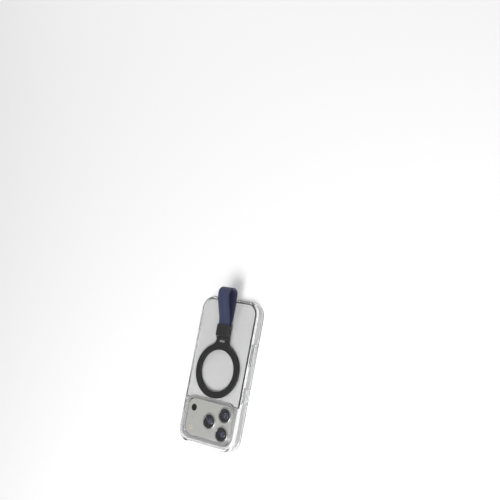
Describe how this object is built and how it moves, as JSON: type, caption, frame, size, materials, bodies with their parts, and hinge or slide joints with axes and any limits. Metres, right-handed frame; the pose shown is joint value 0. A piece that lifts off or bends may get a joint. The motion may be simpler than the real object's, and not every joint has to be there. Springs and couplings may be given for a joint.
{
  "type": "magnetic phone case",
  "caption": "Clear magnetic phone case around a phone, with a magnetic ring grip on its back and a woven strap that makes a finger loop.",
  "frame": {"origin": "under the middle of the whole object's box, at the height of the surface that the case's front rim lies on", "axes": "+Z out of the case's back, +Y along the case towards the camera end, +X to the right when looking at the back with the camera end up"},
  "size_m": [0.0784, 0.1657, 0.0263],
  "materials": {
    "clear_plate": "clear, polished",
    "clear_bumper": "clear, soft gloss",
    "anodised_metal": "bead blasted",
    "polished_metal": "polished",
    "display_glass": "gloss",
    "lens_glass": "gloss",
    "flash_lens": "satin",
    "magnet": "nickel plated",
    "film": "satin",
    "grip_plastic": "satin",
    "grip_pad": "matt",
    "yoke_steel": "plated",
    "keeper_rubber": "matt",
    "strap_fabric": "woven",
    "contact_plastic": "matt"
  },
  "bodies": {
    "case": {"back_plate": "clear_plate", "bumper_frame": "clear_bumper", "case_magnet_01": "magnet", "case_magnet_02": "magnet", "case_magnet_03": "magnet", "case_magnet_04": "magnet", "case_magnet_05": "magnet", "case_magnet_06": "magnet", "case_magnet_07": "magnet", "case_magnet_08": "magnet", "case_magnet_09": "magnet", "case_magnet_10": "magnet", "charging_contact": "contact_plastic", "flash_window": "flash_lens", "grip_magnet_01": "magnet", "grip_magnet_02": "magnet", "grip_magnet_03": "magnet", "grip_magnet_04": "magnet", "grip_magnet_05": "magnet", "grip_magnet_06": "magnet", "grip_magnet_07": "magnet", "grip_magnet_08": "magnet", "grip_magnet_09": "magnet", "grip_magnet_10": "magnet", "grip_pad": "grip_pad", "grip_ring": "grip_plastic", "grip_yoke": "yoke_steel", "lens_bezel_1": "polished_metal", "lens_bezel_2": "polished_metal", "lens_bezel_3": "polished_metal", "lens_cover_1": "lens_glass", "lens_cover_2": "lens_glass", "lens_cover_3": "lens_glass", "magnet_cover": "film", "phone_display": "display_glass", "phone_housing": "anodised_metal", "sensor_window": "lens_glass", "strap_keeper": "keeper_rubber", "strap_loop": "strap_fabric"},
    "action_press": {"action_button": "polished_metal", "action_cap": "clear_bumper"},
    "volume_up_press": {"volume_up_button": "polished_metal", "volume_up_cap": "clear_bumper"},
    "volume_down_press": {"volume_down_button": "polished_metal", "volume_down_cap": "clear_bumper"},
    "side_press": {"side_button": "polished_metal", "side_cap": "clear_bumper"},
    "camera_control_press": {"camera_control_button": "polished_metal", "camera_control_cap": "clear_bumper"}
  },
  "joints": [
    {"name": "action_travel", "type": "slide", "parent": "case", "child": "action_press", "axis": [-1, 0, 0], "range_m": [0, 0.0003], "stiffness_N_per_m": 400},
    {"name": "volume_up_travel", "type": "slide", "parent": "case", "child": "volume_up_press", "axis": [-1, 0, 0], "range_m": [0, 0.0003], "stiffness_N_per_m": 400},
    {"name": "volume_down_travel", "type": "slide", "parent": "case", "child": "volume_down_press", "axis": [-1, 0, 0], "range_m": [0, 0.0003], "stiffness_N_per_m": 400},
    {"name": "side_travel", "type": "slide", "parent": "case", "child": "side_press", "axis": [1, 0, 0], "range_m": [0, 0.0003], "stiffness_N_per_m": 400},
    {"name": "camera_control_travel", "type": "slide", "parent": "case", "child": "camera_control_press", "axis": [1, 0, 0], "range_m": [0, 0.0003], "stiffness_N_per_m": 400}
  ]
}
